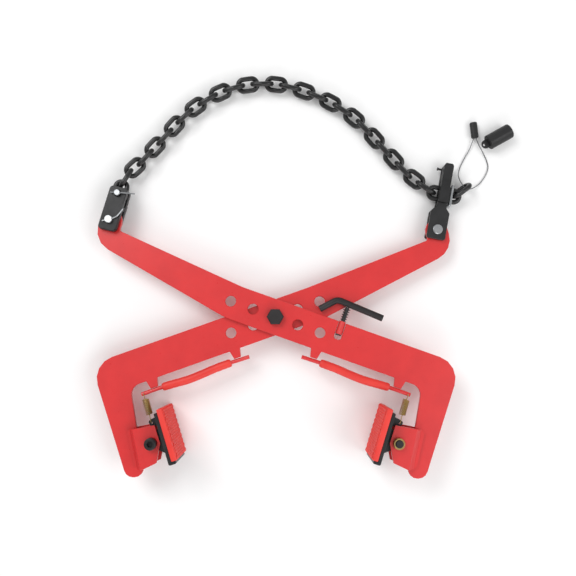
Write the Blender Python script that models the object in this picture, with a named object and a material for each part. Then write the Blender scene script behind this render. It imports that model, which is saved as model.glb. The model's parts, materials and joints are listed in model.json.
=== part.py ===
"""Scissor-type kerb stone lifting clamp, lying on its back as it is stored.

Two crossed plate arms turn on one bolt. Their legs carry swivelling jaws, and their upper ends carry a
shackle and a clutch fork that hold a lifting chain between them. Everything but the chain and the lanyard
is laid out in the clamp plane, whose origin is the pivot bolt: +X right, +Y towards the chain, +Z towards
the front arm. The plane leans a little, because the jaws are deeper than the fork that holds up its far end.
"""

import math

import bmesh
import bpy
from mathutils import Matrix, Vector
from mathutils.geometry import tessellate_polygon

MM = 0.001

# The clamp plane over the floor
PLANE_TILT = math.radians(4.64)
PIVOT_PLACE = Vector((-21.5, -89.9, 45.6)) * MM

# Arms
PLATE = 10.0 * MM
ARM_GAP = 3.0 * MM
FRONT_Z = (PLATE + ARM_GAP) / 2
LIMB_ANGLE = math.radians(-19.5)
LIMB_HALF = 35.0 * MM
FRONT_PIN = Vector((-337.0, 197.0)) * MM
REAR_PIN = Vector((-332.4, 179.5)) * MM
HOLE_R = 11.0 * MM
HOLE_PITCH = 48.0 * MM
PIVOT_R = 10.0 * MM
RUNNING_GAP = 0.3 * MM
EDGE = 0.8 * MM

# Handles and jaws
ROD_R = 4.0 * MM
GRIP_R = 8.5 * MM
JAW_PIVOT = Vector((244.0, -250.0)) * MM
JAW_LEAN = math.radians(17.5)
JAW_DEPTH = 120.0 * MM
PAD_LENGTH = 104.0 * MM
PAD_THICK = 13.5 * MM
FACE_REACH = 47.7 * MM
CHEEK_INSIDE = 21.0 * MM
CHEEK_THICK = 6.0 * MM
JAW_BOLT_R = 8.0 * MM

# Catch, along the front arm's limb
CATCH_ALONG = 132.0 * MM
CATCH_ROD_R = 6.7 * MM
TUBE_R = 7.0 * MM
TUBE_TOP = 37.0 * MM
TUBE_BOTTOM = 10.0 * MM
STEM_R = 4.0 * MM

# Shackle, fork and chain
SHACKLE_LEAN = math.radians(16.8)
SHACKLE_PINS = 56.8 * MM
FORK_LEAN = math.radians(11.0)
CLEVIS_SLOT = 12.0 * MM
CHAIN_WIRE = 10.0 * MM
CHAIN_PITCH = 30.0 * MM
CHAIN_WIDTH = 34.0 * MM
CHAIN_AT = 77.0 * MM
CHAIN_LINKS = 28


# ---------------------------------------------------------------- small tools


def material(name, hex_colour, roughness, metallic):
    """A Principled material, made once, from an sRGB hex colour."""
    if name in bpy.data.materials:
        return bpy.data.materials[name]
    made = bpy.data.materials.new(name)
    made.use_nodes = True
    shader = made.node_tree.nodes["Principled BSDF"]
    channels = [int(hex_colour[i : i + 2], 16) / 255 for i in (0, 2, 4)]
    linear = [c / 12.92 if c <= 0.04045 else ((c + 0.055) / 1.055) ** 2.4 for c in channels]
    shader.inputs["Base Color"].default_value = (*linear, 1.0)
    shader.inputs["Roughness"].default_value = roughness
    shader.inputs["Metallic"].default_value = metallic
    return made


def red_paint():
    return material("red_paint", "E0242B", 0.35, 0.0)


def black_steel():
    return material("black_steel", "1C1D1F", 0.45, 0.6)


def bright_steel():
    return material("bright_steel", "C9CACC", 0.28, 1.0)


def yellow_zinc():
    return material("yellow_zinc", "B59F5C", 0.35, 1.0)


def red_rubber():
    return material("red_rubber", "EE3D2B", 0.55, 0.0)


def black_plastic():
    return material("black_plastic", "18181A", 0.5, 0.0)


def empty(name, place, parent=None):
    """A joint axis or a frame. place is in the clamp plane, or in the world without a parent."""
    made = bpy.data.objects.new(name, None)
    bpy.context.collection.objects.link(made)
    made.empty_display_size = 0.02
    made["clamp_place"] = tuple(place)
    if parent is not None:
        made.parent = parent
        made.location = Vector(place) - Vector(parent["clamp_place"])
    else:
        made.location = place
    return made


def add_object(name, mesh, look, parent):
    """An object whose mesh is in clamp plane coordinates, riding on the empty of its joint."""
    made = bpy.data.objects.new(name, mesh)
    bpy.context.collection.objects.link(made)
    made.data.materials.append(look)
    if parent is not None:
        made.parent = parent
        made.location = -Vector(parent["clamp_place"])
    return made


def finish_mesh(bm, name, smooth_angle=35.0):
    """A bmesh as a mesh with outward normals and smooth round faces."""
    bmesh.ops.recalc_face_normals(bm, faces=bm.faces)
    mesh = bpy.data.meshes.new(name)
    bm.to_mesh(mesh)
    bm.free()
    mesh.shade_smooth()
    mesh.set_sharp_from_angle(angle=math.radians(smooth_angle))
    return mesh


def rounded(corners, degrees=26.0):
    """A closed outline from corners (x, y, radius), each radius drawn as an arc of even steps."""
    points = []
    count = len(corners)
    for i, (x, y, radius) in enumerate(corners):
        here = Vector((x, y))
        before = (Vector(corners[i - 1][:2]) - here).normalized()
        after = (Vector(corners[(i + 1) % count][:2]) - here).normalized()
        half = before.angle(after) / 2
        if radius <= 0 or half > math.radians(88):
            points.append(here)
            continue
        reach = radius / math.tan(half)
        middle = here + (before + after).normalized() * (radius / math.sin(half))
        start = here + before * reach - middle
        turn = math.pi - 2 * half
        side = 1 if start.x * (after.y * reach + here.y - middle.y) - start.y * (
            after.x * reach + here.x - middle.x
        ) > 0 else -1
        steps = max(1, math.ceil(math.degrees(turn) / degrees))
        for k in range(steps + 1):
            angle = side * turn * k / steps
            cos, sin = math.cos(angle), math.sin(angle)
            points.append(middle + Vector((start.x * cos - start.y * sin, start.x * sin + start.y * cos)))
    return points


def circle(centre, radius, sides=18, turn=0.0):
    """A round outline."""
    return [
        Vector((centre[0], centre[1]))
        + radius * Vector((math.cos(turn + math.tau * k / sides), math.sin(turn + math.tau * k / sides)))
        for k in range(sides)
    ]


def wound(loop, anticlockwise):
    """The outline, running the way asked for."""
    area = sum(a.x * b.y - b.x * a.y for a, b in zip(loop, loop[1:] + loop[:1]))
    return loop if (area > 0) == anticlockwise else loop[::-1]


def inset(loop, distance):
    """The outline moved to its left by a distance, corner by corner."""
    moved = []
    for before, here, after in zip(loop[-1:] + loop[:-1], loop, loop[1:] + loop[:1]):
        a, b = (here - before).normalized(), (after - here).normalized()
        normal = Vector((-a.y - b.y, a.x + b.x)).normalized()
        moved.append(here + normal * distance / max(0.3, normal.dot(Vector((-a.y, a.x)))))
    return moved


def plate_mesh(name, outline, low, high, holes=(), edge=0.0):
    """A flat plate from low to high along Z, with holes, and edges broken by a small chamfer."""
    loops = [wound(outline, True)] + [wound(hole, False) for hole in holes]
    levels = [(low, 0.0), (high, 0.0)]
    if edge:
        levels = [(low, edge), (low + edge, 0.0), (high - edge, 0.0), (high, edge)]
    bm = bmesh.new()
    rings = []
    for height, distance in levels:
        shifted = [inset(loop, distance) if distance else loop for loop in loops]
        rings.append([[bm.verts.new((p.x, p.y, height)) for p in loop] for loop in shifted])
    for level in (rings[0], rings[-1]):
        flat = [[v.co.copy() for v in loop] for loop in level]
        verts = [v for loop in level for v in loop]
        for face in tessellate_polygon(flat):
            bm.faces.new([verts[i] for i in face])
    for lower, upper in zip(rings, rings[1:]):
        for ring, above in zip(lower, upper):
            for i in range(len(ring)):
                bm.faces.new((ring[i - 1], ring[i], above[i], above[i - 1]))
    return finish_mesh(bm, name)


def plate(name, outline, low, high, look, parent, holes=(), edge=0.0):
    return add_object(name, plate_mesh(name, outline, low, high, holes, edge), look, parent)


def turned(name, profile, place, direction, look, parent, sides=20, turn=0.0):
    """A closed turned body. profile is (radius, height) from one end of its axis to the other."""
    bm = bmesh.new()
    rings = []
    for radius, height in profile:
        rings.append([
            bm.verts.new((
                radius * math.cos(turn + math.tau * k / sides),
                radius * math.sin(turn + math.tau * k / sides),
                height,
            ))
            for k in range(sides)
        ])
    closed = profile[0] == profile[-1]
    pairs = zip(rings[:-1], rings[1:-1] + [rings[0]]) if closed else zip(rings, rings[1:])
    for lower, upper in pairs:
        for k in range(sides):
            bm.faces.new((lower[k - 1], lower[k], upper[k], upper[k - 1]))
    if closed:
        bmesh.ops.delete(bm, geom=rings[-1], context="VERTS")
    else:
        bm.faces.new(rings[0][::-1])
        bm.faces.new(rings[-1])
    bm.transform(stand(place, direction))
    return add_object(name, finish_mesh(bm, name), look, parent)


def stand(place, direction):
    """The matrix that stands +Z along a direction at a place."""
    turn = Vector((0, 0, 1)).rotation_difference(Vector(direction)).to_matrix().to_4x4()
    return Matrix.Translation(Vector(place)) @ turn


def smooth_route(points, step):
    """Points about step apart on a smooth curve through the given ones."""
    points = [Vector(p) for p in points]
    ends = [2 * points[0] - points[1]] + points + [2 * points[-1] - points[-2]]
    dense = []
    for a, b, c, d in zip(ends, ends[1:], ends[2:], ends[3:]):
        for k in range(24):
            t = k / 24
            dense.append(0.5 * (
                2 * b + (c - a) * t + (2 * a - 5 * b + 4 * c - d) * t**2 + (3 * b - a - 3 * c + d) * t**3
            ))
    dense.append(points[-1])
    lengths = [0.0]
    for a, b in zip(dense, dense[1:]):
        lengths.append(lengths[-1] + (b - a).length)
    count = max(2, round(lengths[-1] / step))
    return [point_at(dense, lengths, lengths[-1] * k / count) for k in range(count + 1)]


def point_at(dense, lengths, distance):
    """The point a distance along a line of dense points."""
    for i in range(len(lengths) - 1):
        if lengths[i + 1] >= distance:
            share = (distance - lengths[i]) / max(lengths[i + 1] - lengths[i], 1e-9)
            return dense[i].lerp(dense[i + 1], share)
    return dense[-1].copy()


def swept_rings(bm, path, radius, sides, up=(0, 0, 1)):
    """Rings of vertices square to a path. radius is a number or one number for each point."""
    rings = []
    for i, here in enumerate(path):
        along = (path[min(i + 1, len(path) - 1)] - path[max(i - 1, 0)]).normalized()
        across = along.cross(Vector(up)).normalized()
        square = across.cross(along)
        size = radius[i] if isinstance(radius, list) else radius
        ring = []
        for k in range(sides):
            angle = math.tau * (k + 0.5) / sides
            ring.append(bm.verts.new(here + size * (math.cos(angle) * across + math.sin(angle) * square)))
        rings.append(ring)
    return rings


def bridge(bm, rings, closed=False):
    """Skin a row of rings."""
    pairs = list(zip(rings, rings[1:])) + ([(rings[-1], rings[0])] if closed else [])
    for ring, following in pairs:
        for k in range(len(ring)):
            bm.faces.new((ring[k - 1], ring[k], following[k], following[k - 1]))


def bar(name, path, radius, look, parent, sides=12, up=(0, 0, 1)):
    """A solid round bar or wire along a path."""
    bm = bmesh.new()
    rings = swept_rings(bm, path, radius, sides, up)
    bridge(bm, rings)
    bm.faces.new(rings[0][::-1])
    bm.faces.new(rings[-1])
    return add_object(name, finish_mesh(bm, name), look, parent)


def sleeve(name, path, inner, outer, look, parent, sides=12):
    """A tube along a path, open at both ends."""
    bm = bmesh.new()
    outside = swept_rings(bm, path, outer, sides)
    inside = swept_rings(bm, path, inner, sides)
    bridge(bm, outside + inside[::-1], closed=True)
    return add_object(name, finish_mesh(bm, name), look, parent)


def cutter(name, place, direction, radius, length, parent, sides=16):
    """A hidden cylinder for drilling."""
    half = length / 2
    made = turned(name, [(radius, -half), (radius, half)], place, direction, black_steel(), parent, sides)
    made.hide_render = True
    made.display_type = "WIRE"
    return made


def combine(piece, operation, others):
    """Boolean modifiers that join others to a piece or cut them out of it."""
    for other in others:
        other.hide_render = True
        other.display_type = "WIRE"
        boolean = piece.modifiers.new(other.name, "BOOLEAN")
        boolean.operation = operation
        boolean.object = other
        boolean.solver = "EXACT"
    return piece


# ---------------------------------------------------------------- arms


def limb(along, across, side=1):
    """A point on an arm's straight limb, from the pivot; side -1 mirrors it for the rear arm."""
    cos, sin = math.cos(LIMB_ANGLE), math.sin(LIMB_ANGLE)
    return Vector((side * (along * cos - across * sin), along * sin + across * cos))


def arm_corners(pin, catch_slot):
    """The arm's corners clockwise from its pin eye, as (x, y, radius), for the arm that leans right."""
    lean, eye = SHACKLE_LEAN, 22.6 * MM
    up = Vector((math.sin(lean), math.cos(lean)))
    right = Vector((up.y, -up.x))
    corners = [
        (*(pin + eye * (up - right)), eye * 0.98),
        (*(pin + eye * (up + right)), eye * 0.98),
        (*(pin + Vector((18.0, -20.5)) * MM), 6 * MM),
        (-66 * MM, 60.5 * MM, 80 * MM),
    ]
    if catch_slot:
        half = TUBE_R + 0.7 * MM
        for along, across, radius in ((-half, 35 * MM, 1 * MM), (-half, -1 * MM, 5 * MM),
                                      (half, -1 * MM, 5 * MM), (half, 35 * MM, 1 * MM)):
            corners.append((*limb(CATCH_ALONG + along, across), radius))
    corners += [
        (374 * MM, -95.5 * MM, 45 * MM),
        (298.5 * MM, -321 * MM, 18.5 * MM),
        (261 * MM, -321 * MM, 17.5 * MM),
        (294.6 * MM, -141.4 * MM, 22 * MM),
    ]
    for start, end in ((290 * MM, 267 * MM), (111 * MM, 89 * MM)):
        corners += [
            (*limb(start, -LIMB_HALF), 2 * MM),
            (*limb(start - 4 * MM, -52.4 * MM), 0.5 * MM),
            (*limb(end + 4 * MM, -52.4 * MM), 0.5 * MM),
            (*limb(end, -LIMB_HALF), 2 * MM),
        ]
    corners += [
        (-102 * MM, -1 * MM, 80 * MM),
        (*(pin + Vector((-35.0, -42.0)) * MM), 45 * MM),
    ]
    return corners


def make_arm(name, side, middle, pin, parent):
    """One plate arm. side 1 is the front arm, -1 its mirrored partner behind it."""
    outline = [Vector((side * p.x, p.y)) for p in rounded(arm_corners(pin, side > 0))]
    holes = [circle(limb(k * HOLE_PITCH, 0, side), HOLE_R) for k in (-2, -1, 1, 2)]
    holes.append(circle((0, 0), PIVOT_R + RUNNING_GAP))
    holes.append(circle((side * pin.x, pin.y), 8.4 * MM))
    low, high = middle - PLATE / 2, middle + PLATE / 2
    return plate(name, outline, low, high, red_paint(), parent, holes, EDGE)


def make_pivot(parent):
    """The hexagon bolt, its nut behind and the thrust washer between the arms."""
    face = FRONT_Z + PLATE / 2 + RUNNING_GAP
    up = (0, 0, 1)
    head = turned("pivot_bolt_head", [(16.2 * MM, face), (17.3 * MM, face + 1 * MM), (17.3 * MM, face + 11 * MM),
                                      (15.4 * MM, face + 12.6 * MM)], (0, 0, 0), up, black_steel(), parent, 6)
    bolt = turned("pivot_bolt", [(9.2 * MM, -face - 21 * MM), (PIVOT_R, -face - 19.5 * MM),
                                 (PIVOT_R, face + 2 * MM)], (0, 0, 0), up, black_steel(), parent, 24)
    combine(bolt, "UNION", [head])
    bore = PIVOT_R + RUNNING_GAP
    turned("pivot_nut", [(bore, -face), (17.3 * MM, -face), (17.3 * MM, -face - 16 * MM),
                         (bore, -face - 16 * MM), (bore, -face)], (0, 0, 0), up, black_steel(), parent, 24)
    thick = ARM_GAP / 2 - RUNNING_GAP
    turned("pivot_washer", [(bore, -thick), (20 * MM, -thick), (20 * MM, thick), (bore, thick),
                            (bore, -thick)], (0, 0, 0), up, bright_steel(), parent, 24)


def make_handle(prefix, side, middle, parent):
    """The bowed rod under an arm, drilled at its outer end for the jaw spring, and its soft grip."""
    stations = [(77, -58), (100, -57.4), (118, -57.0), (150, -57.4), (181, -59.4), (210, -60.4), (238, -58.6),
                (268, -57.0), (308, -57.0)]
    route = [(*limb(s * MM, t * MM, side), middle) for s, t in stations]
    path = smooth_route(route, 12 * MM)
    rod = bar(f"{prefix}_handle_rod", path, ROD_R, red_paint(), parent, 10)
    eye = (*limb(303 * MM, -57 * MM, side), middle)
    combine(rod, "DIFFERENCE", [cutter(f"{prefix}_rod_drill", eye, (0, 0, 1), 2.2 * MM, 20 * MM, parent, 8)])
    start, end = limb(114 * MM, -57 * MM, side), limb(264 * MM, -57 * MM, side)
    low, high = sorted((start.x, end.x))
    held = [p for p in path if low <= p.x <= high]
    sleeve(f"{prefix}_grip", held, ROD_R + 0.8 * MM, GRIP_R, red_rubber(), parent, 12)


# ---------------------------------------------------------------- catch


def limb3(along, across):
    """A point of the front arm's limb at the middle of its plate."""
    return Vector((*limb(along, across), FRONT_Z))


def helix(start, end, radii, turns, points_per_turn):
    """Points along a coil between two places, its radius changing evenly."""
    frame = stand(start, (end - start).normalized())
    length, count = (end - start).length, round(turns * points_per_turn)
    points = []
    for i in range(count + 1):
        share = i / count
        radius = radii[0] + (radii[1] - radii[0]) * share
        angle = math.tau * turns * share
        points.append(frame @ Vector((radius * math.cos(angle), radius * math.sin(angle), length * share)))
    return points


def make_catch(fixed, swivel, slide):
    """Guide tube in the arm's slot, stem and bent rod that hold the clamp open, and their conical spring."""
    axis = (limb3(CATCH_ALONG, 1.0) - limb3(CATCH_ALONG, 0.0)).normalized()
    foot = limb3(CATCH_ALONG, 0.0)
    bore = STEM_R + 0.4 * MM
    turned("catch_tube", [(bore, TUBE_BOTTOM), (TUBE_R, TUBE_BOTTOM), (TUBE_R, TUBE_TOP), (bore, TUBE_TOP),
                          (bore, TUBE_BOTTOM)], foot, axis, red_paint(), fixed, 16)
    turned("catch_stem", [(5.8 * MM, 7.4 * MM), (5.8 * MM, 9.4 * MM), (STEM_R, 9.4 * MM), (STEM_R, 67.0 * MM)],
           foot, axis, black_steel(), slide, 16)
    route = rounded([(79.5, 45.5, 0), (107.5, 75.6, 18), (206, 70, 0)], 12)
    path = [limb3(p.x * MM, p.y * MM) for p in route]
    start = next(i for i, p in enumerate(route) if (p - Vector((79.5, 45.5))).length < 0.1)
    path = path[start:] + path[:start]
    bar("catch_rod", path, CATCH_ROD_R, black_steel(), slide, 14)
    coil = helix(limb3(CATCH_ALONG, TUBE_TOP + 1.4 * MM), limb3(CATCH_ALONG, 66.0 * MM),
                 (5.3 * MM, 6.6 * MM), 5.5, 7)
    bar("catch_spring", coil, 0.8 * MM, black_steel(), swivel, 5, axis)


# ---------------------------------------------------------------- jaws


def jaw_point(reach, rise, side):
    """A point of a jaw: reach from its pivot towards the gap, rise along its face."""
    inward = Vector((-math.cos(JAW_LEAN), math.sin(JAW_LEAN)))
    upward = Vector((math.sin(JAW_LEAN), math.cos(JAW_LEAN)))
    place = JAW_PIVOT + inward * reach + upward * rise
    return Vector((side * place.x, place.y))


def jaw_outline(corners, side):
    """An outline from corners (reach, rise, radius) in a jaw's own directions, in millimetres."""
    return rounded([(*jaw_point(n * MM, u * MM, side), r * MM) for n, u, r in corners])


def make_jaw(prefix, side, middle, parent):
    """The swivelling bracket with its lug and spring eye, and the gripping pad it carries."""
    back = (FACE_REACH - PAD_THICK) / MM
    half = JAW_DEPTH / 2
    pad = [(back, 61.0, 1.0), (back + 13.5, 61.0, 2.5), (back + 13.5, -43.0, 2.5), (back, -43.0, 1.0)]
    plate(f"{prefix}_jaw_pad", jaw_outline(pad, side), -half, half, red_rubber(), parent, (), 0.8 * MM)
    front, rear = back - 0.3, back - 7.3
    shell = [(rear, 55, 2), (front, 55, 1), (front, -43.4, 0), (front + 8, -43.4, 1), (front + 8, -49, 2),
             (rear, -49, 3)]
    bracket = plate(f"{prefix}_jaw_bracket", jaw_outline(shell, side), -half + 4 * MM, half - 4 * MM,
                    black_steel(), parent, (), 0.6 * MM)
    lug = [(rear + 2, 28, 3), (rear + 2, -34, 3), (8, -17, 6), (-14, -12, 12), (-14, 12, 12), (6, 16, 8)]
    eye = [(rear + 2, 47, 0), (rear + 2, 26, 0), (2, 30.5, 5.5), (-0.6, 42.5, 5.5), (12, 45, 4)]
    half_lug = CHEEK_INSIDE - 1.5 * MM
    parts = [
        plate(f"{prefix}_jaw_lug", jaw_outline(lug, side), -half_lug, half_lug, black_steel(), parent),
        plate(f"{prefix}_spring_lug", jaw_outline(eye, side), middle - 3 * MM, middle + 3 * MM,
              black_steel(), parent),
    ]
    combine(bracket, "UNION", parts)
    drills = [
        cutter(f"{prefix}_lug_bore", (*jaw_point(0, 0, side), 0), (0, 0, 1), JAW_BOLT_R + RUNNING_GAP,
               80 * MM, parent, 20),
        cutter(f"{prefix}_eye_bore", (*spring_eye(side), middle), (0, 0, 1), 2.3 * MM, 20 * MM, parent, 8),
    ]
    combine(bracket, "DIFFERENCE", drills)


def spring_eye(side):
    """Where a jaw's spring hooks into its bracket."""
    return jaw_point(5.7 * MM, 36.5 * MM, side)


def make_cheek(name, side, flange, level, parent):
    """A joggled plate: a flange on the leg, a fold, and a raised ear that holds the jaw bolt."""
    ear = [(238.2, -214.7), (226.4, -249.7), (233.2, -288.1), (262, -302.0)]
    folds = [((262, -302.0), (280.0, -222.5)), ((273, -301.0), (290.0, -224.0)), ((281, -296.0), (297.0, -231.0))]
    heights = (level, flange, flange)
    bm = bmesh.new()
    lines = [
        [bm.verts.new((side * x * MM, y * MM, height)) for x, y in line]
        for line, height in zip(folds, heights)
    ]
    outer = [bm.verts.new((side * x * MM, y * MM, level)) for x, y in ear[:3]]
    bm.faces.new([*outer, lines[0][0], lines[0][1]])
    for near, far in zip(lines, lines[1:]):
        bm.faces.new((near[0], far[0], far[1], near[1]))
    bmesh.ops.recalc_face_normals(bm, faces=bm.faces)
    mesh = bpy.data.meshes.new(name)
    bm.to_mesh(mesh)
    bm.free()
    cheek = add_object(name, mesh, red_paint(), parent)
    thick = cheek.modifiers.new("thickness", "SOLIDIFY")
    thick.thickness = CHEEK_THICK
    thick.offset = 0.0
    thick.use_even_offset = True
    bore = cutter(f"{name}_bore", (*jaw_point(0, 0, side), level), (0, 0, 1), JAW_BOLT_R + RUNNING_GAP,
                  20 * MM, parent, 20)
    return combine(cheek, "DIFFERENCE", [bore])


def make_cheeks(prefix, side, middle, parent):
    """Both cheeks of a leg and the bolt and nut through them."""
    level = CHEEK_INSIDE + CHEEK_THICK / 2
    clear = PLATE / 2 + RUNNING_GAP + CHEEK_THICK / 2
    make_cheek(f"{prefix}_cheek_front", side, middle + clear, level, parent)
    make_cheek(f"{prefix}_cheek_back", side, middle - clear, -level, parent)
    face = CHEEK_INSIDE + CHEEK_THICK + RUNNING_GAP
    place = (*jaw_point(0, 0, side), 0)
    up = (0, 0, side)
    # the right bolt enters from behind and ends in a nut in front; the left one the other way round
    bolt = turned(f"{prefix}_jaw_bolt", [(9.5 * MM, -face - 14 * MM), (12 * MM, -face - 12.5 * MM),
                                         (12 * MM, -face), (JAW_BOLT_R, -face), (JAW_BOLT_R, face + 11 * MM),
                                         (6.6 * MM, face + 12.4 * MM)], place, up, black_steel(), parent, 20)
    socket = cutter(f"{prefix}_bolt_socket", (place[0], place[1], -side * (face + 14 * MM)), (0, 0, 1),
                    6.6 * MM, 14 * MM, parent, 6)
    combine(bolt, "DIFFERENCE", [socket])
    bore = JAW_BOLT_R + RUNNING_GAP
    turned(f"{prefix}_jaw_nut", [(bore, face), (11.6 * MM, face), (11.6 * MM, face + 8 * MM),
                                 (10.4 * MM, face + 9.6 * MM), (bore, face + 9.6 * MM), (bore, face)],
           place, up, yellow_zinc(), parent, 20)


def make_jaw_spring(prefix, side, middle, parent):
    """The close-wound tension spring between the handle rod and the jaw, with its end hooks."""
    upper = Vector((*limb(303 * MM, -57 * MM, side), middle))
    lower = Vector((*spring_eye(side), middle))
    along = (lower - upper).normalized()
    top, bottom = upper + along * 11 * MM, lower - along * 17 * MM
    coil = helix(top, bottom, (6.4 * MM, 6.4 * MM), 10, 6)
    across = Vector((0, 0, 1))
    hook = [upper - across * 1.0 * MM, upper + across * 6.2 * MM, upper + across * 5.6 * MM + along * 5 * MM,
            top + across * 2 * MM]
    tail = [bottom + across * 2 * MM, lower + across * 4.6 * MM - along * 5 * MM, lower + across * 5.0 * MM,
            lower - across * 1.0 * MM]
    bar(f"{prefix}_jaw_spring", hook + coil[1:-1] + tail, 0.85 * MM, yellow_zinc(), parent, 4,
        (along.y, -along.x, 0.02))


# ---------------------------------------------------------------- shackle and fork


def leaning(place, lean):
    """A function that turns (across, up) from a pin into the clamp plane, for a link that leans right."""
    up = Vector((math.sin(lean), math.cos(lean)))
    right = Vector((up.y, -up.x))
    return lambda across, rise: place + right * across + up * rise


def make_shackle(parent):
    """The double clevis between the front arm and the chain, with its two headed pins and cotters."""
    at = leaning(FRONT_PIN, SHACKLE_LEAN)
    z = FRONT_Z
    inner, outer = CLEVIS_SLOT / 2, 19.5 * MM
    holes = [circle(at(0, 0), 8.4 * MM), circle(at(0, SHACKLE_PINS), 6.9 * MM)]
    body = [(-18, -23, 7), (-19, 69.5, 8), (17, 71, 8), (20, -21, 8)]
    outline = rounded([(*at(a * MM, b * MM), r * MM) for a, b, r in body])
    shackle = plate("shackle", outline, z + inner, z + outer - 1.6 * MM, black_steel(), parent, holes, 1 * MM)
    rear = plate("shackle_rear", outline, z - outer + 1.6 * MM, z - inner, black_steel(), parent, holes, 1 * MM)
    web_corners = [(-17.5, 25.2, 1), (-17.5, 34.6, 1), (17.5, 34.6, 1), (17.5, 25.2, 1)]
    web_outline = rounded([(*at(a * MM, b * MM), r * MM) for a, b, r in web_corners])
    web = plate("shackle_web", web_outline, z - inner - 2 * MM, z + inner + 2 * MM, black_steel(), parent)
    step = [(-16.5, -21, 6), (-17.3, 38.5, 1), (18, 39.5, 1), (18.5, -19.5, 7)]
    step_outline = rounded([(*at(a * MM, b * MM), r * MM) for a, b, r in step])
    hole = [circle(at(0, 0), 8.4 * MM)]
    pads = [
        plate("shackle_step_front", step_outline, z + outer - 3 * MM, z + outer, black_steel(), parent, hole),
        plate("shackle_step_rear", step_outline, z - outer, z - outer + 3 * MM, black_steel(), parent, hole),
    ]
    combine(shackle, "UNION", [web, rear, *pads])
    end = z + outer + 6.5 * MM
    head = z - outer - RUNNING_GAP
    for name, rise, radius in (("shackle_arm_pin", 0.0, 8.0 * MM), ("shackle_chain_pin", SHACKLE_PINS, 6.2 * MM)):
        place = (*at(0, rise), 0)
        pin = turned(name, [(radius + 3 * MM, head - 7 * MM), (radius + 4 * MM, head - 6 * MM),
                            (radius + 4 * MM, head), (radius, head), (radius, end - 1 * MM),
                            (radius - 1 * MM, end)], place, (0, 0, 1), bright_steel(), parent, 20)
        hole_place = (place[0], place[1], end - 3.4 * MM)
        way = (1, -0.05, 0) if rise else (1, 0.25, 0)
        combine(pin, "DIFFERENCE", [cutter(f"{name}_drill", hole_place, way, 2.3 * MM, 40 * MM, parent, 8)])
    height = end - 3.4 * MM
    arm, chain = at(0, 0), at(0, SHACKLE_PINS)
    routes = (
        ("arm_pin_cotter", [arm + Vector((-13, -3.25)) * MM, arm, arm + Vector((10, 2.5)) * MM,
                            arm + Vector((17, 6)) * MM, arm + Vector((29, 21)) * MM]),
        ("chain_pin_cotter", [chain + Vector((-14, 0.7)) * MM, chain, chain + Vector((12, -0.6)) * MM,
                              chain + Vector((36, -3)) * MM]),
    )
    for name, route in routes:
        path = smooth_route([(p.x, p.y, height) for p in route], 6 * MM)
        bar(name, path, 1.5 * MM, bright_steel(), parent, 6)


def make_fork(parent):
    """The clutch fork between the rear arm and the chain: two tines, joined at the top, and its fittings."""
    pin = Vector((-REAR_PIN.x, REAR_PIN.y))
    at = leaning(pin, FORK_LEAN)
    z = -FRONT_Z
    inner, outer = CLEVIS_SLOT / 2, 14.0 * MM
    corners = [(-20, -20, 5), (-20, 37, 7), (-10, 50, 9), (-10, 134, 2), (-6, 141, 2), (8, 141, 3), (10.5, 137, 2),
               (10.5, 92, 1), (13.4, 90, 1.5), (13.4, 60, 1.5), (10.5, 58, 1), (10.5, 46, 5), (18.5, 37, 5),
               (18.5, -20, 5)]
    outline = rounded([(*at(a * MM, b * MM), r * MM) for a, b, r in corners])
    holes = [circle(at(0, 0), 8.4 * MM)]
    fork = plate("grab_fork", outline, z + inner, z + outer, black_steel(), parent, holes, 1.2 * MM)
    rear = plate("fork_rear", outline, z - outer + 0.7 * MM, z - inner, black_steel(), parent, holes, 1.2 * MM)
    top = [(-9, 104, 1), (-9, 136, 1), (9, 136, 1), (9, 104, 1)]
    neck = [(-18, 28, 1), (-9, 42, 1), (9.5, 42, 1), (17, 28, 1)]
    raised = [(-9.6, 57, 4), (-9.6, 136, 3), (9.6, 136, 3), (9.6, 57, 4)]
    parts = [rear]
    for name, shape, low, high in (
        ("fork_top", top, z - inner - 2 * MM, z + inner + 2 * MM),
        ("fork_neck", neck, z - inner - 2 * MM, z + inner + 2 * MM),
        ("fork_rib", raised, z + outer - 2 * MM, z + outer + 5 * MM),
    ):
        shape_outline = rounded([(*at(a * MM, b * MM), r * MM) for a, b, r in shape])
        parts.append(plate(name, shape_outline, low, high, black_steel(), parent))
    combine(fork, "UNION", parts)
    turned("fork_pin", [(7.0 * MM, z - outer - 1.6 * MM), (8.0 * MM, z - outer - 0.8 * MM), (8.0 * MM, z + outer
           + RUNNING_GAP), (10 * MM, z + outer + RUNNING_GAP), (10 * MM, z + outer + 2.4 * MM),
           (8.6 * MM, z + outer + 3.4 * MM)], (*pin, 0), (0, 0, 1), bright_steel(), parent, 20)
    stop = [(13.8, 53), (13.8, 97), (18.8, 97), (18.8, 53)]
    stop_outline = [at(a * MM, b * MM) for a, b in stop]
    stop_plate = plate("stop_plate", stop_outline, z - 13 * MM, z + 13 * MM, bright_steel(), parent, (), 0.8 * MM)
    slot = [at(a * MM, b * MM) for a, b in ((5, 57), (5, 110), (30, 110), (30, 57))]
    slot_cut = plate("stop_plate_slot", slot, z - 5.9 * MM, z + 5.9 * MM, bright_steel(), parent)
    combine(stop_plate, "DIFFERENCE", [slot_cut])
    left = at(-10.4 * MM, 128 * MM)
    turned("keeper_pin", [(2.2 * MM, 0), (2.2 * MM, 8 * MM), (3.2 * MM, 8 * MM), (3.2 * MM, 10.5 * MM)],
           (left.x, left.y, z), (-0.98, 0.19, 0), black_steel(), parent, 10)


# ---------------------------------------------------------------- chain


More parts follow.
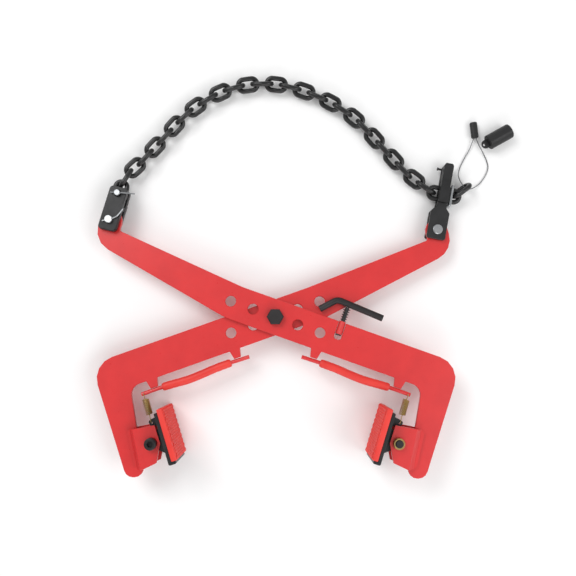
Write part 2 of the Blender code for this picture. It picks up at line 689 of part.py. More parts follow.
def link_mesh(name, matrix, pitch, wire_radius=5.1 * MM, arcs=4):
    """A stadium link in the XY plane, long along X, put in place by a matrix."""
    bm = bmesh.new()
    bend = (CHAIN_WIDTH - CHAIN_WIRE) / 2
    straight = (pitch + CHAIN_WIRE) / 2 - bend
    path = []
    for side in (1, -1):
        for k in range(arcs + 1):
            angle = math.pi * (k / arcs - 0.5)
            path.append((side * (straight + bend * math.cos(angle)), side * bend * math.sin(angle), side))
    rings = []
    for i, (x, y, side) in enumerate(path):
        outward = Vector((x - side * straight, y, 0)).normalized()
        rings.append([
            bm.verts.new(Vector((x, y, 0)) + wire_radius * (
                math.cos(math.tau * k / 6) * outward + math.sin(math.tau * k / 6) * Vector((0, 0, 1))
            ))
            for k in range(6)
        ])
    bridge(bm, rings, closed=True)
    bm.transform(matrix)
    return finish_mesh(bm, name)


def link_matrix(centre, direction, roll, normal):
    """The matrix of a link from its centre, its long direction and its roll about that."""
    along = direction.normalized()
    across = normal.cross(along).normalized()
    square = along.cross(across)
    turned_across = across * math.cos(roll) + square * math.sin(roll)
    turned_square = along.cross(turned_across)
    frame = Matrix((along, turned_across, turned_square)).transposed().to_4x4()
    return Matrix.Translation(centre) @ frame


def clamp_to_world(point):
    """A clamp plane point in the world."""
    return Matrix.Translation(PIVOT_PLACE) @ Matrix.Rotation(-PLANE_TILT, 4, "X") @ Vector(point)


def world_normal():
    return Matrix.Rotation(-PLANE_TILT, 3, "X") @ Vector((0, 0, 1))


def long_link_ends():
    """Inner left end, inner right end and level of the long end link in the fork, in the clamp plane."""
    at = leaning(Vector((-REAR_PIN.x, REAR_PIN.y)), FORK_LEAN)
    left, right = at(-25 * MM, CHAIN_AT), at(29.5 * MM, CHAIN_AT)
    return Vector((*left, -FRONT_Z)), Vector((*right, -FRONT_Z))


def chain_route():
    """The line of the chain in the world, from the shackle's chain pin to the long end link."""
    at = leaning(FRONT_PIN, SHACKLE_LEAN)
    pin = clamp_to_world((*at(0, SHACKLE_PINS), FRONT_Z))
    start = pin + (pin - Vector((-338.5, 183.1, 29.4)) * MM).normalized() * 6.7 * MM
    left, right = long_link_ends()
    inward = (right - left).normalized()
    end = clamp_to_world(left + (inward * 1.7 + Vector((-inward.y, inward.x, 0)) * 1.7) * MM)
    lying = 16.8 * MM
    arch = [
        (-338.5, 183.1, 29.4), (-326.5, 205.1, 24.5), (-304.5, 227.1, 19.8), (-258.5, 277.1), (-197.5, 339.1),
        (-118.5, 383.1), (-29.5, 394.1), (59.5, 371.1), (138.5, 326.1), (201.5, 261.1), (255.5, 204.1),
    ]
    middle = [Vector((p[0] * MM, p[1] * MM, p[2] * MM if len(p) > 2 else lying)) for p in arch]
    return [start, *middle, end]


def chain_places():
    """(centre, direction) of every link between its joints; the links of a pair touch, pairs do not."""
    dense = smooth_route(chain_route(), 0.5 * MM)
    lengths = [0.0]
    for a, b in zip(dense, dense[1:]):
        lengths.append(lengths[-1] + (b - a).length)
    share = lengths[-1] / CHAIN_LINKS
    joints = [point_at(dense, lengths, k * share) for k in range(CHAIN_LINKS + 1)]
    places = []
    for k, (start, end) in enumerate(zip(joints, joints[1:])):
        direction = (end - start).normalized()
        nudge = 0.5 * MM * (1 if k % 2 else -1)
        places.append(((start + end) / 2 + direction * nudge, direction))
    return places


def make_chain(pairs_parent):
    """The lifting chain, link pair by link pair, then the long end link and the link that keeps it."""
    places = chain_places()
    up = Vector((0, 0, 1))
    for k in range(0, len(places), 2):
        name = f"chain_{k // 2 + 1:02d}"
        meshes = []
        for i in (k, k + 1):
            centre, direction = places[i]
            roll = math.radians(-74.0 if i % 2 else 16.0)
            normal = up
            if i == 0:
                roll, normal = 0.0, world_normal()
            meshes.append(link_mesh(f"{name}_{i}", link_matrix(centre, direction, roll, normal), CHAIN_PITCH))
        hinge = clamp_hinge(f"{name}_hinge", chain_joint(places, k))
        first = add_object(name, meshes[0], black_steel(), hinge)
        second = add_object(f"{name}_partner", meshes[1], black_steel(), hinge)
        combine(first, "UNION", [second])


def clamp_hinge(name, place):
    """An empty on a chain joint, standing in the world."""
    return empty(name, place)


def chain_joint(places, k):
    """Where link pair k joins the one before it, or the shackle's pin."""
    if k == 0:
        at = leaning(FRONT_PIN, SHACKLE_LEAN)
        return clamp_to_world((*at(0, SHACKLE_PINS), FRONT_Z))
    return (places[k - 1][0] + places[k][0]) / 2


def make_end_links(parent):
    """The long link that lies in the fork's slot, and the link through its end that cannot pass the stop."""
    left, right = long_link_ends()
    middle, along = (left + right) / 2, (right - left).normalized()
    matrix = link_matrix(middle, along, 0.0, Vector((0, 0, 1)))
    add_object("long_link", link_mesh("long_link", matrix, (right - left).length), black_steel(), parent)
    heading = Vector((math.cos(math.radians(37)), math.sin(math.radians(37)), 0))
    wire = right - along * (CHAIN_WIRE / 2 + 1.4 * MM)
    centre = wire + heading * (CHAIN_PITCH / 2 + CHAIN_WIRE / 2)
    matrix = link_matrix(centre, heading, math.radians(-76), Vector((0, 0, 1)))
    add_object("lanyard_link", link_mesh("lanyard_link", matrix, CHAIN_PITCH), black_steel(), parent)
    return centre, heading


# ---------------------------------------------------------------- lanyard


LANYARD_ROUTE = [
    (393, 282.1, 6), (385, 260.1, 3), (375.5, 243.1, 1.6), (366, 224.1, 1.8), (361, 207.1, 6), (363, 194.1, 12),
    (366.5, 186.1, 15.5), (372, 178.3, 17.5), (381, 175.6, 13.5), (393.5, 179.6, 5.5), (408.5, 190.6, 1.5),
    (420, 208.1, 1.4), (424.5, 223.1, 1.4), (421.5, 237.1, 1.4), (415.5, 249.1, 3), (409.5, 258.6, 7),
    (404, 267.6, 8), (398.3, 282.6, 6.2),
]
LANYARD_R = 1.0 * MM


def make_lanyard(parent):
    """The wire loop that keeps the cap with the clamp, its crimped ferrule and the cap."""
    curve = bpy.data.curves.new("lanyard", "CURVE")
    curve.dimensions = "3D"
    curve.bevel_depth = LANYARD_R
    curve.bevel_resolution = 2
    curve.use_fill_caps = True
    points = smooth_route([Vector(p) * MM for p in LANYARD_ROUTE], 5.5 * MM)
    spline = curve.splines.new("POLY")
    spline.points.add(len(points) - 1)
    for spot, point in zip(spline.points, points):
        spot.co = (*point, 1.0)
    wire = bpy.data.objects.new("lanyard", curve)
    bpy.context.collection.objects.link(wire)
    wire.data.materials.append(bright_steel())
    wire.parent = parent
    mouth = Vector((395.7, 282.9, 8.0)) * MM
    lean = Vector((-0.12, 0.99, 0)).normalized()
    turned("lanyard_ferrule", [(5.0 * MM, 0), (7.6 * MM, 2 * MM), (7.8 * MM, 31 * MM), (6.4 * MM, 33 * MM)],
           mouth, lean, black_plastic(), None, 14)
    cap_start, cap_way = Vector((420.5, 271.6, 15.6)) * MM, Vector((0.874, 0.486, 0)).normalized()
    cap = turned("lanyard_cap", [(13.5 * MM, 0), (15.4 * MM, 1.5 * MM), (15.4 * MM, 51 * MM), (14.0 * MM, 52.5
                 * MM)], cap_start, cap_way, black_plastic(), None, 20)
    frame = stand(cap_start, cap_way)
    tab = turned("cap_tab", [(9 * MM, -2.2 * MM), (9 * MM, 2.2 * MM)], frame @ Vector((0, 0, -5 * MM)),
                 cap_way.cross(Vector((0, 0, 1))).cross(cap_way), black_plastic(), None, 16)
    combine(cap, "UNION", [tab])
    eye = cutter("cap_eye", frame @ Vector((0, 0, -9.5 * MM)), (0, 0, 1), 2.6 * MM, 60 * MM, None, 10)
    combine(cap, "DIFFERENCE", [eye])


# ---------------------------------------------------------------- assembly


def main():
    for old in list(bpy.data.objects):
        bpy.data.objects.remove(old, do_unlink=True)
    plane = empty("clamp_plane", (0, 0, 0))
    plane.location = PIVOT_PLACE
    plane.rotation_euler = (-PLANE_TILT, 0, 0)
    rear_hinge = empty("jaw_opening_axis", (0, 0, 0), plane)
    right_jaw = empty("right_jaw_axis", (*jaw_point(0, 0, 1), 0), plane)
    left_jaw = empty("left_jaw_axis", (*jaw_point(0, 0, -1), 0), rear_hinge)
    shackle_axis = empty("shackle_axis", (*FRONT_PIN, FRONT_Z), plane)
    fork_axis = empty("fork_axis", (-REAR_PIN.x, REAR_PIN.y, -FRONT_Z), rear_hinge)
    catch_axis = empty("catch_axis", limb3(CATCH_ALONG, 0), plane)
    make_arm("front_arm", 1, FRONT_Z, FRONT_PIN, plane)
    make_arm("rear_arm", -1, -FRONT_Z, REAR_PIN, rear_hinge)
    make_pivot(plane)
    make_catch(plane, catch_axis, catch_axis)
    for prefix, side, middle, arm, jaw in (
        ("right", 1, FRONT_Z, plane, right_jaw),
        ("left", -1, -FRONT_Z, rear_hinge, left_jaw),
    ):
        make_handle(prefix, side, middle, arm)
        make_cheeks(prefix, side, middle, arm)
        make_jaw_spring(prefix, side, middle, arm)
        make_jaw(prefix, side, middle, jaw)
    make_shackle(shackle_axis)
    make_fork(fork_axis)
    make_end_links(fork_axis)
    make_chain(None)
    make_lanyard(None)


main()
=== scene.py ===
"""Looks of the kerb stone lifting clamp: camera, lanyard, fine pieces, materials, stage and light."""

import json
import math

import bpy
from mathutils import Matrix, Vector


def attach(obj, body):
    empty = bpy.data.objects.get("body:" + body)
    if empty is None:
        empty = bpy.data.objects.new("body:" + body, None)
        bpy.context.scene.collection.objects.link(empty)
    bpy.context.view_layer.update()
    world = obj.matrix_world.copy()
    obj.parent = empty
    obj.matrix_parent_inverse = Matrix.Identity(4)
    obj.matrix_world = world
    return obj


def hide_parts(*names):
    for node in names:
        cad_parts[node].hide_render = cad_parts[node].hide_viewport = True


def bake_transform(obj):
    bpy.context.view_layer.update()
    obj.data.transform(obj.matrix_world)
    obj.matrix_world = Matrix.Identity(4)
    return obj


MM = 0.001
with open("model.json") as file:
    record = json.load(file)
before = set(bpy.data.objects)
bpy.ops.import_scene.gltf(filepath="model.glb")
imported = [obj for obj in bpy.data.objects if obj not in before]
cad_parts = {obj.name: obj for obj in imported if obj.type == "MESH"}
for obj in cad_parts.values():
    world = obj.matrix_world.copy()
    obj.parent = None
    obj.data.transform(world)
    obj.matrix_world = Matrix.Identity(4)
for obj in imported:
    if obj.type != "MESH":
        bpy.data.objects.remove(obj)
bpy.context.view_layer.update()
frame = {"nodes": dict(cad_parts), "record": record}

PLANE_TILT = math.radians(4.64)
PIVOT_PLACE = Vector((-21.5, -89.9, 45.6)) * MM
CLAMP = Matrix.Translation(PIVOT_PLACE) @ Matrix.Rotation(-PLANE_TILT, 4, "X")
FRONT_Z = 6.5
LIMB_ANGLE = math.radians(-19.5)
JAW_PIVOT = Vector((244.0, -250.0))
JAW_LEAN = math.radians(17.5)
FRONT_PIN = Vector((-337.0, 197.0))
REAR_PIN = Vector((332.4, 179.5))
FORK_LEAN, SHACKLE_LEAN = 11.0, 16.8
SHACKLE_PINS = 56.8
CHAIN_AT = 77.0
CHAIN_WIRE, CHAIN_PITCH, CHAIN_WIDTH = 10.0, 30.0, 34.0
LINK_STEP = 29.8
PIN_CLEARANCE, END_CLEARANCE = 6.7, 1.7
EVEN_ROLL, ODD_ROLL = math.radians(16.0), math.radians(-74.0)
LANYARD_HEADING = math.radians(37)
STUD_PITCH = 10.4


# ---------------------------------------------------------------- camera

bpy.ops.object.camera_add(location=PIVOT_PLACE + Vector((25.7, 59.4, 1400.0)) * MM, rotation=(0, 0, 0))
camera = bpy.context.object
camera.data.angle = math.radians(45.5)
camera.data.clip_start = 0.01
camera.data.dof.use_dof = False
bpy.context.scene.camera = camera


# ---------------------------------------------------------------- materials


def linear(hex_colour):
    """An sRGB hex colour as linear RGBA."""
    channels = [int(hex_colour[i : i + 2], 16) / 255 for i in (0, 2, 4)]
    return (*[c / 12.92 if c <= 0.04045 else ((c + 0.055) / 1.055) ** 2.4 for c in channels], 1.0)


def add_node(tree, kind, **inputs):
    """A node whose inputs are numbers, colours or other nodes' outputs; spaces in names are underscores."""
    made = tree.nodes.new(kind)
    for name, value in inputs.items():
        socket = made.inputs[name.replace("_", " ")]
        if isinstance(value, bpy.types.NodeSocket):
            tree.links.new(value, socket)
        else:
            socket.default_value = value
    return made


def ramp(tree, factor, low, high, start, end):
    """A number running from low to high as factor runs from start to end."""
    made = add_node(
        tree, "ShaderNodeMapRange", Value=factor, From_Min=start, From_Max=end, To_Min=low, To_Max=high
    )
    return made.outputs["Result"]


def mix(tree, factor, first, second):
    """One colour over another."""
    made = tree.nodes.new("ShaderNodeMix")
    made.data_type = "RGBA"
    tree.links.new(factor, made.inputs[0])
    for socket, value in ((made.inputs[6], first), (made.inputs[7], second)):
        if isinstance(value, bpy.types.NodeSocket):
            tree.links.new(value, socket)
        else:
            socket.default_value = value
    return made.outputs[2]


def surface(name, colour, shade, rough, metallic, grain, relief, coat=0.0, stretch=(1, 1, 1), specks=0.0):
    """A procedural material: slow and fine variations of colour and roughness, and a fine relief.

    grain is the size of the fine texture and relief its depth, both in millimetres."""
    look = bpy.data.materials.new(name)
    look.use_nodes = True
    tree = look.node_tree
    shader = tree.nodes["Principled BSDF"]
    place = tree.nodes.new("ShaderNodeTexCoord").outputs["Object"]
    spread = add_node(tree, "ShaderNodeMapping", Vector=place, Scale=stretch).outputs["Vector"]
    slow = add_node(tree, "ShaderNodeTexNoise", Vector=place, Scale=22.0, Detail=3.0).outputs["Fac"]
    fine = add_node(tree, "ShaderNodeTexNoise", Vector=spread, Scale=1000.0 / grain, Detail=4.0).outputs["Fac"]
    middle = add_node(tree, "ShaderNodeTexNoise", Vector=spread, Scale=170.0, Detail=5.0, Roughness=0.65)
    base = mix(tree, ramp(tree, slow, 0.0, 1.0, 0.35, 0.7), linear(colour), linear(shade))
    base = mix(tree, ramp(tree, fine, 0.0, 0.35, 0.45, 0.75), base, linear(shade))
    if specks:
        worn = ramp(tree, middle.outputs["Fac"], 0.0, 1.0, 0.66, 0.72)
        faint = add_node(tree, "ShaderNodeMath", Value=worn)
        faint.operation = "MULTIPLY"
        faint.inputs[1].default_value = specks
        base = mix(tree, faint.outputs[0], base, linear("8E8A86"))
    tree.links.new(base, shader.inputs["Base Color"])
    roughness = ramp(tree, middle.outputs["Fac"], rough - 0.07, rough + 0.09, 0.3, 0.7)
    tree.links.new(roughness, shader.inputs["Roughness"])
    shader.inputs["Metallic"].default_value = metallic
    shader.inputs["Coat Weight"].default_value = coat
    shader.inputs["Coat Roughness"].default_value = 0.12
    bump = add_node(tree, "ShaderNodeBump", Height=fine, Strength=0.6, Distance=relief * MM)
    tree.links.new(bump.outputs["Normal"], shader.inputs["Normal"])
    return look


# Each finish: base colour, shade, roughness, metallic, grain and relief in millimetres. Grains finer than
# about 0.5 mm are drawn coarser than life, so that they still break up the highlight.
LOOKS = {
    # Lacquered steel plate: a smooth, slightly wavy red skin with a soft sheen
    "red_paint": surface("red_lacquer", "D6292A", "CC2527", 0.34, 0.0, 1.6, 0.03, coat=0.35),
    # Drop-forged and blackened steel: a fine rough skin, worn pale in specks
    "black_steel": surface("black_forged", "1B1B1C", "2A2A2B", 0.42, 0.35, 0.9, 0.12, coat=0.15, specks=0.12),
    # Bright zinc on turned pins: drawn-out streaks along the pin
    "bright_steel": surface("bright_zinc", "C4C6C8", "9DA0A3", 0.32, 1.0, 0.5, 0.03, stretch=(1, 1, 0.2)),
    # Yellow-passivated zinc on spring wire: a dull gold
    "yellow_zinc": surface("yellow_zinc_plate", "BBA06A", "A3874F", 0.36, 0.85, 0.6, 0.03),
    # Soft moulded pads and grips: matt red
    "red_rubber": surface("red_plastic", "E5392F", "DA3029", 0.5, 0.0, 0.7, 0.05),
    # Moulded plastic: matt black, very even
    "black_plastic": surface("black_moulded", "101011", "18181A", 0.5, 0.0, 0.5, 0.03),
    # Black-oxide fasteners: a brownish black, half metallic
    "bolt_black": surface("bolt_oxide", "2A2829", "373435", 0.45, 0.5, 0.6, 0.06),
    # Chain coating over forged links: deeper black and glossier than the forgings
    "chain_black": surface("chain_coating", "121213", "1E1E1F", 0.33, 0.25, 0.8, 0.1, coat=0.3, specks=0.08),
    # Stranded steel rope: grey, its strands drawn as fine grain
    "wire_grey": surface("steel_rope", "8C8D8F", "5F6062", 0.4, 0.9, 0.4, 0.1),
}
FINISH = {
    "pivot_bolt": "bolt_black",
    "pivot_nut": "bolt_black",
    "right_jaw_bolt": "bolt_black",
    "left_jaw_bolt": "bolt_black",
}
for subpart in frame["record"]["subparts"]:
    node = frame["nodes"][subpart["node"]]
    node.data.materials.clear()
    node.data.materials.append(LOOKS[FINISH.get(subpart["node"], subpart["material_slot"])])


# ---------------------------------------------------------------- tools for new pieces


def clear_selection():
    for chosen in list(bpy.context.selected_objects):
        chosen.select_set(False)


def settle(piece, name, matrix, body, slot, replaced=(), look=None, angle=40.0):
    """Puts a finished mesh where it belongs, with its object at the origin, hangs it on its body and hides the
    CAD nodes it replaces.

    With no body, the piece is left hanging on none."""
    piece.name = piece.data.name = name
    piece.data.transform(matrix)
    piece.data.materials.clear()
    piece.data.materials.append(LOOKS[look or slot])
    clear_selection()
    piece.select_set(True)
    bpy.context.view_layer.objects.active = piece
    bpy.ops.object.shade_smooth_by_angle(angle=math.radians(angle))
    if body:
        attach(piece, body)
    if replaced:
        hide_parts(*replaced)
    return piece


def edit_where(piece, test):
    """Enters edit mode with only the vertices that pass a test selected."""
    clear_selection()
    piece.select_set(True)
    bpy.context.view_layer.objects.active = piece
    bpy.ops.object.mode_set(mode="EDIT")
    bpy.ops.mesh.select_mode(type="VERT")
    bpy.ops.mesh.select_all(action="DESELECT")
    bpy.ops.object.mode_set(mode="OBJECT")
    for vertex in piece.data.vertices:
        vertex.select = test(vertex.co / MM)
    bpy.ops.object.mode_set(mode="EDIT")


def copy_piece(piece):
    """A second piece with a mesh of its own."""
    made = piece.copy()
    made.data = piece.data.copy()
    bpy.context.collection.objects.link(made)
    return made


def apply_all(piece):
    clear_selection()
    piece.select_set(True)
    bpy.context.view_layer.objects.active = piece
    for modifier in list(piece.modifiers):
        bpy.ops.object.modifier_apply(modifier=modifier.name)


def smooth_route(points, step):
    """Points about step apart on a smooth curve through the given ones."""
    points = [Vector(p) for p in points]
    ends = [2 * points[0] - points[1]] + points + [2 * points[-1] - points[-2]]
    dense = []
    for a, b, c, d in zip(ends, ends[1:], ends[2:], ends[3:]):
        for k in range(24):
            t = k / 24
            dense.append(0.5 * (
                2 * b + (c - a) * t + (2 * a - 5 * b + 4 * c - d) * t**2 + (3 * b - a - 3 * c + d) * t**3
            ))
    dense.append(points[-1])
    return even_points(dense, step)


def even_points(dense, step):
    """Points at equal distances along a line of many points."""
    lengths = [0.0]
    for a, b in zip(dense, dense[1:]):
        lengths.append(lengths[-1] + (b - a).length)
    count = max(2, round(lengths[-1] / step))
    made, i = [], 0
    for k in range(count + 1):
        distance = lengths[-1] * k / count
        while i < len(lengths) - 2 and lengths[i + 1] < distance:
            i += 1
        share = (distance - lengths[i]) / max(lengths[i + 1] - lengths[i], 1e-12)
        made.append(dense[i].lerp(dense[i + 1], share))
    return made


def curve_object(name, points, radius, resolution):
    """A curve through points with a round section and filled ends."""
    clear_selection()
    data = bpy.data.curves.new(name, "CURVE")
    data.dimensions = "3D"
    data.bevel_depth = radius
    data.bevel_resolution = resolution
    data.use_fill_caps = True
    data.render_resolution_u = 0
    spline = data.splines.new("POLY")
    spline.points.add(len(points) - 1)
    for spot, point in zip(spline.points, points):
        spot.co = (*point, 1.0)
    made = bpy.data.objects.new(name, data)
    bpy.context.collection.objects.link(made)
    return made


def round_bar(name, points, radius, body, slot, replaced=(), look=None, resolution=6):
    """A bar or wire along points given in millimetres in the clamp plane, as a mesh."""
    bar = curve_object(name, [Vector(p) * MM for p in points], radius * MM, resolution)
    bar.select_set(True)
    bpy.context.view_layer.objects.active = bar
    bpy.ops.object.convert(target="MESH")
    return settle(bpy.context.object, name, CLAMP, body, slot, replaced, look, 50.0)


def limb(along, across, side=1):
    """A point on an arm's straight limb."""
    cos, sin = math.cos(LIMB_ANGLE), math.sin(LIMB_ANGLE)
    return Vector((side * (along * cos - across * sin), along * sin + across * cos))


def jaw_point(reach, rise, side):
    """A point of a jaw."""
    inward = Vector((-math.cos(JAW_LEAN), math.sin(JAW_LEAN)))
    upward = Vector((math.sin(JAW_LEAN), math.cos(JAW_LEAN)))
    place = JAW_PIVOT + inward * reach + upward * rise
    return Vector((side * place.x, place.y))


# ---------------------------------------------------------------- lanyard

LANYARD_ROUTE = [
    (393, 282.1, 6), (385, 260.1, 3), (375.5, 243.1, 1.6), (366, 224.1, 1.8), (361, 207.1, 6), (363, 194.1, 12),
    (366.5, 186.1, 15.5), (372, 178.3, 17.5), (381, 175.6, 13.5), (393.5, 179.6, 5.5), (408.5, 190.6, 1.5),
    (420, 208.1, 1.4), (424.5, 223.1, 1.4), (421.5, 237.1, 1.4), (415.5, 249.1, 3), (409.5, 258.6, 7),
    (404, 267.6, 8), (398.3, 282.6, 6.2),
]
rope_line = smooth_route([Vector(p) * MM for p in LANYARD_ROUTE], 2.0 * MM)
rope = curve_object("lanyard_rope", rope_line, 0.95 * MM, 3)
rope.data.materials.append(LOOKS["wire_grey"])
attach(rope, "fork")
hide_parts("lanyard")


# ---------------------------------------------------------------- chain


def link_model(inner_length, wire=4.95, width=CHAIN_WIDTH):
    """A welded link lying in the XY plane, long along X."""
    clear_selection()
    bpy.ops.mesh.primitive_torus_add(
        major_segments=36, minor_segments=16, major_radius=(width - CHAIN_WIRE) / 2 * MM, minor_radius=wire * MM
    )
    piece = bpy.context.object
    stretch = (inner_length + CHAIN_WIRE) / 2 - (width - CHAIN_WIRE) / 2
    for side in (1, -1):
        edit_where(piece, lambda co: co.x * side > 0.01)
        bpy.ops.transform.translate(value=(side * stretch * MM, 0, 0))
        bpy.ops.object.mode_set(mode="OBJECT")
    edit_where(piece, lambda co: abs(co.x) < 0.01 and co.y < 0)
    bpy.ops.mesh.bevel(offset=1.6 * MM, offset_type="WIDTH", segments=2, affect="EDGES")
    bpy.ops.object.mode_set(mode="OBJECT")
    edit_where(piece, lambda co: abs(co.x) < 0.3 and co.y < 0)
    bpy.ops.transform.resize(value=(1, 1.03, 1.03), center_override=(0, -(width - CHAIN_WIRE) / 2 * MM, 0))
    bpy.ops.object.mode_set(mode="OBJECT")
    return piece


def link_matrix(centre, direction, roll, normal):
    """Where a link lies: its centre, its long direction and its roll about that."""
    along = direction.normalized()
    across = normal.cross(along).normalized()
    square = along.cross(across)
    turned = across * math.cos(roll) + square * math.sin(roll)
    axes = Matrix((along, turned, along.cross(turned))).transposed().to_4x4()
    return Matrix.Translation(centre) @ axes


def leaning(place, degrees):
    """A function from (across, up) at a pin to the clamp plane, for a link that leans right."""
    up = Vector((math.sin(math.radians(degrees)), math.cos(math.radians(degrees))))
    right = Vector((up.y, -up.x))
    return lambda across, rise: place + right * across + up * rise


def in_world(point, height):
    return CLAMP @ (Vector((point.x, point.y, height)) * MM)


UP = Vector((0, 0, 1))
NORMAL = CLAMP.to_3x3() @ UP
at_fork = leaning(REAR_PIN, FORK_LEAN)
plane_left, plane_right = at_fork(-25, CHAIN_AT), at_fork(29.5, CHAIN_AT)
end_left, end_right = in_world(plane_left, -FRONT_Z), in_world(plane_right, -FRONT_Z)
chain_pin = in_world(leaning(FRONT_PIN, SHACKLE_LEAN)(0, SHACKLE_PINS), FRONT_Z)
# The chain's way over the floor, in millimetres, from the shackle to the fork
arch = [
    (-338.5, 183.1, 29.4), (-326.5, 205.1, 24.5), (-304.5, 227.1, 19.8), (-258.5, 277.1, 16.8),
    (-197.5, 339.1, 16.8), (-118.5, 383.1, 16.8), (-29.5, 394.1, 16.8), (59.5, 371.1, 16.8), (138.5, 326.1, 16.8),
    (201.5, 261.1, 16.8), (255.5, 204.1, 16.8),
]
inward = (plane_right - plane_left).normalized()
last = in_world(plane_left + (inward + Vector((-inward.y, inward.x))) * END_CLEARANCE, -FRONT_Z)
first = chain_pin + (chain_pin - Vector(arch[0]) * MM).normalized() * PIN_CLEARANCE * MM
joints = even_points(smooth_route([first, *[Vector(p) * MM for p in arch], last], 0.5 * MM), LINK_STEP * MM)
# The last link of each chain body
BODY_ENDS = (
    ("chain_a", 4), ("chain_b", 6), ("chain_c", 10), ("chain_d", 14), ("chain_e", 18), ("chain_f", 22),
    ("chain_g", 28),
)
model = link_model(CHAIN_PITCH)
for k in range(len(joints) - 1):
    start, end = joints[k], joints[k + 1]
    roll = ODD_ROLL if k % 2 else EVEN_ROLL
    matrix = link_matrix((start + end) / 2, end - start, roll, UP)
    if k == 0:
        matrix = link_matrix((start + end) / 2, end - start, 0.0, NORMAL)
    replaced = (f"chain_{k // 2 + 1:02d}",) if k % 2 == 0 else ()
    body = next(name for name, end_link in BODY_ENDS if k < end_link)
    settle(copy_piece(model), f"link_{k + 1:02d}", matrix, body, "black_steel", replaced, "chain_black")

end_world = (end_right - end_left).normalized()
end_model = link_model((plane_right - plane_left).length)
matrix = link_matrix((end_left + end_right) / 2, end_world, 0.0, UP)
settle(end_model, "link_in_fork", matrix, "fork", "black_steel", ("long_link",), "chain_black")
heading = Vector((math.cos(LANYARD_HEADING), math.sin(LANYARD_HEADING), 0))
bar_centre = end_right - end_world * 6.4 * MM
matrix = link_matrix(bar_centre + heading * 20.0 * MM, heading, math.radians(-76), UP)
settle(model, "link_on_lanyard", matrix, "fork", "black_steel", ("lanyard_link",), "chain_black")


# ---------------------------------------------------------------- handles, catch and springs


def arm_body(side):
    return "front_arm" if side > 0 else "rear_arm"


def make_handle(prefix, side, middle):
    """The bowed rod and its grip, a soft sleeve with rounded ends."""
    stations = [(77, -58), (100, -57.4), (118, -57.0), (150, -57.4), (181, -59.4), (210, -60.4), (238, -58.6),
                (268, -57.0), (308, -57.0)]
    path = smooth_route([(*limb(s, t, side), middle) for s, t in stations], 3.0)
    round_bar(f"{prefix}_rod", path, 4.0, arm_body(side), "red_paint", (f"{prefix}_handle_rod",))
    start, end = limb(114, -57, side).x, limb(264, -57, side).x
    held = [p for p in path if min(start, end) <= p.x <= max(start, end)]
    grip = curve_object(f"{prefix}_soft_grip", [p * MM for p in held], 8.4 * MM, 8)
    spots = grip.data.splines[0].points
    for i, spot in enumerate(spots):
        edge = min(i, len(spots) - 1 - i)
        spot.radius = (0.8, 0.95)[edge] if edge < 2 else 1.0 - 0.04 * (edge % 4 == 3) * (edge < 12)
    clear_selection()
    grip.select_set(True)
    bpy.context.view_layer.objects.active = grip
    bpy.ops.object.convert(target="MESH")
    settle(bpy.context.object, f"{prefix}_soft_grip", CLAMP, arm_body(side), "red_rubber",
           (f"{prefix}_grip",), None, 50.0)


def coil(start, end, first_radius, last_radius, turns, steps=20):
    """Points of a coil spring."""
    turn = Vector((0, 0, 1)).rotation_difference((end - start).normalized()).to_matrix()
    points = []
    for i in range(round(turns * steps) + 1):
        share = i / (turns * steps)
        radius = first_radius + (last_radius - first_radius) * share
        angle = math.tau * turns * share
        round_part = Vector((radius * math.cos(angle), radius * math.sin(angle), (end - start).length * share))
        points.append(start + turn @ round_part)
    return points


def make_jaw_spring(prefix, side, middle):
    """The close-wound tension spring between the rod and the jaw, with its end hooks."""
    upper = Vector((*limb(303, -57, side), middle))
    lower = Vector((*jaw_point(5.7, 36.5, side), middle))
    along = (lower - upper).normalized()
    across = Vector((0, 0, 1))
    top, bottom = upper + along * 11, lower - along * 17
    winding = coil(top, bottom, 6.3, 6.3, 15)
    hook = smooth_route([upper - across, upper + across * 5.6, upper + across * 5.2 + along * 5,
                         top + across * 2, winding[4]], 0.8)
    tail = smooth_route([winding[-5], bottom + across * 2, lower + across * 4.6 - along * 5,
                         lower + across * 4.6, lower - across], 0.8)
    spring = round_bar(f"{prefix}_spring", hook + winding[5:-5] + tail, 0.8, None, "yellow_zinc",
                       (f"{prefix}_jaw_spring",), None, 2)
    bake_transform(spring)


for prefix, side, middle in (("right", 1, FRONT_Z), ("left", -1, -FRONT_Z)):
    make_handle(prefix, side, middle)
    make_jaw_spring(prefix, side, middle)


def on_limb(along, across):
    return Vector((*limb(along, across), FRONT_Z))


def corner_arc(before, corner, after, radius, steps=14):
    """The corner's rounded line, from one leg to the other."""
    one, two = (before - corner).normalized(), (after - corner).normalized()
    half = one.angle(two) / 2
    reach = radius / math.tan(half)
    middle = corner + (one + two).normalized() * radius / math.sin(half)
    start, end = corner + one * reach - middle, corner + two * reach - middle
    return [middle + start.slerp(end, k / steps) * radius for k in range(steps + 1)]


tip, bend, far = on_limb(79.5, 45.5), on_limb(107.5, 75.6), on_limb(206, 70)
hook_line = [tip, *corner_arc(tip, bend, far, 18.0), far]
round_bar("catch_hook", hook_line, 6.65, "catch", "black_steel", ("catch_rod",), "bolt_black", 10)
winding = coil(on_limb(132, 38.4), on_limb(132, 66.0), 5.3, 6.6, 5.5, 24)
round_bar("catch_cone_spring", winding, 0.75, "catch", "black_steel", ("catch_spring",), "bolt_black", 3)


# ---------------------------------------------------------------- jaw pads


def jaw_matrix(side):
    """From jaw directions (reach, rise, depth) in metres to the world."""
    place = jaw_point(0, 0, side) * MM
    reach = Vector((*(jaw_point(1, 0, side) - jaw_point(0, 0, side)), 0))
    rise = Vector((*(jaw_point(0, 1, side) - jaw_point(0, 0, side)), 0))
    axes = Matrix((reach, rise, reach.cross(rise))).transposed().to_4x4()
    return CLAMP @ Matrix.Translation((place.x, place.y, 0)) @ axes


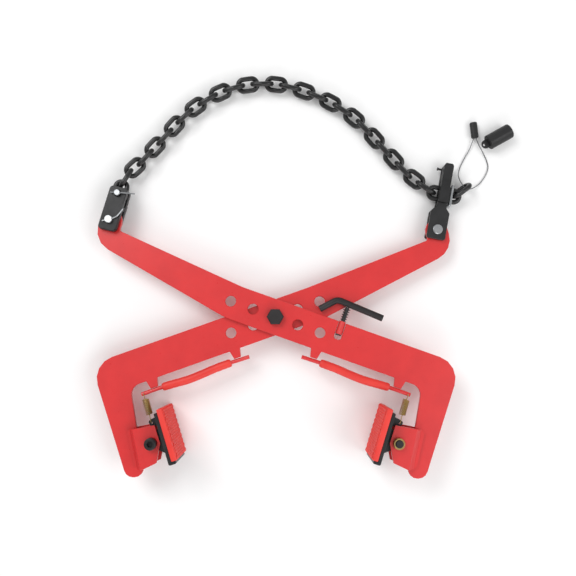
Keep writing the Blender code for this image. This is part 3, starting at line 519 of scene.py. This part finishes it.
def stud_field(name, count_rise, count_depth, first_rise, first_depth, side):
    """A field of raised diamond studs."""
    clear_selection()
    bpy.ops.mesh.primitive_cylinder_add(vertices=4, radius=5.0 * MM, depth=2.6 * MM, rotation=(0, math.pi / 2, 0))
    stud = bpy.context.object
    bpy.ops.object.transform_apply(location=False, rotation=True, scale=False)
    edit_where(stud, lambda co: co.x > 0)
    bpy.ops.transform.resize(value=(1, 0.72, 0.72), center_override=(1.3 * MM, 0, 0))
    bpy.ops.object.mode_set(mode="OBJECT")
    edit_where(stud, lambda co: True)
    bpy.ops.mesh.bevel(offset=0.35 * MM, segments=2, affect="EDGES")
    bpy.ops.transform.translate(value=(46.3 * MM, first_rise * MM, first_depth * MM))
    bpy.ops.object.mode_set(mode="OBJECT")
    for axis, count in ((1, count_rise), (2, count_depth)):
        array = stud.modifiers.new("repeat", "ARRAY")
        array.count = count
        array.use_relative_offset = False
        array.use_constant_offset = True
        offset = [0.0, 0.0, 0.0]
        offset[axis] = STUD_PITCH * MM
        array.constant_offset_displace = offset
    apply_all(stud)
    return settle(stud, name, jaw_matrix(side), f"{'right' if side > 0 else 'left'}_jaw", "red_rubber")


def make_pad(prefix, side):
    """The gripping pad: a moulded block with softened edges and its tread."""
    clear_selection()
    bpy.ops.mesh.primitive_cube_add(size=1.0, location=(40.0 * MM, 9.0 * MM, 0))
    pad = bpy.context.object
    pad.scale = (11.4 * MM, 103.6 * MM, 119.6 * MM)
    bpy.ops.object.transform_apply(location=True, rotation=False, scale=True)
    edit_where(pad, lambda co: True)
    bpy.ops.mesh.bevel(offset=1.6 * MM, segments=3, affect="EDGES")
    bpy.ops.object.mode_set(mode="OBJECT")
    settle(pad, f"{prefix}_pad", jaw_matrix(side), f"{prefix}_jaw", "red_rubber", (f"{prefix}_jaw_pad",))
    stud_field(f"{prefix}_tread_a", 10, 11, -37.8, -52.0, side)
    stud_field(f"{prefix}_tread_b", 9, 10, -32.6, -46.8, side)


for prefix, side in (("right", 1), ("left", -1)):
    make_pad(prefix, side)


# ---------------------------------------------------------------- stage and light

clear_selection()
bpy.ops.mesh.primitive_plane_add(size=12.0, location=(0, 0, -0.0005))
floor = bpy.context.object
floor.name = "floor"
paper = bpy.data.materials.new("paper")
paper.use_nodes = True
paper.node_tree.nodes["Principled BSDF"].inputs["Base Color"].default_value = (0.93, 0.93, 0.93, 1.0)
paper.node_tree.nodes["Principled BSDF"].inputs["Roughness"].default_value = 0.9
floor.data.materials.append(paper)


def softbox(name, place, target, width, watts):
    """A square soft light."""
    bpy.ops.object.light_add(type="AREA", location=place)
    lamp = bpy.context.object
    lamp.name = name
    lamp.data.size = width
    lamp.data.energy = watts
    lamp.rotation_euler = (Vector(target) - Vector(place)).to_track_quat("-Z", "Y").to_euler()
    return lamp


lamps = [
    softbox("key", (-1.5, 1.6, 2.4), (0, 0, 0), 1.6, 46.0),
    softbox("fill", (1.9, -0.6, 2.2), (0, 0, 0), 1.8, 26.0),
    softbox("low", (0.2, -2.2, 1.4), (0, 0, 0), 1.6, 16.0),
]
scene = bpy.context.scene
scene.world = bpy.data.worlds.new("studio")
scene.world.use_nodes = True
scene.world.node_tree.nodes["Background"].inputs["Color"].default_value = (1.0, 1.0, 1.0, 1.0)
scene.world.node_tree.nodes["Background"].inputs["Strength"].default_value = 0.55
scene.view_settings.view_transform = "Standard"
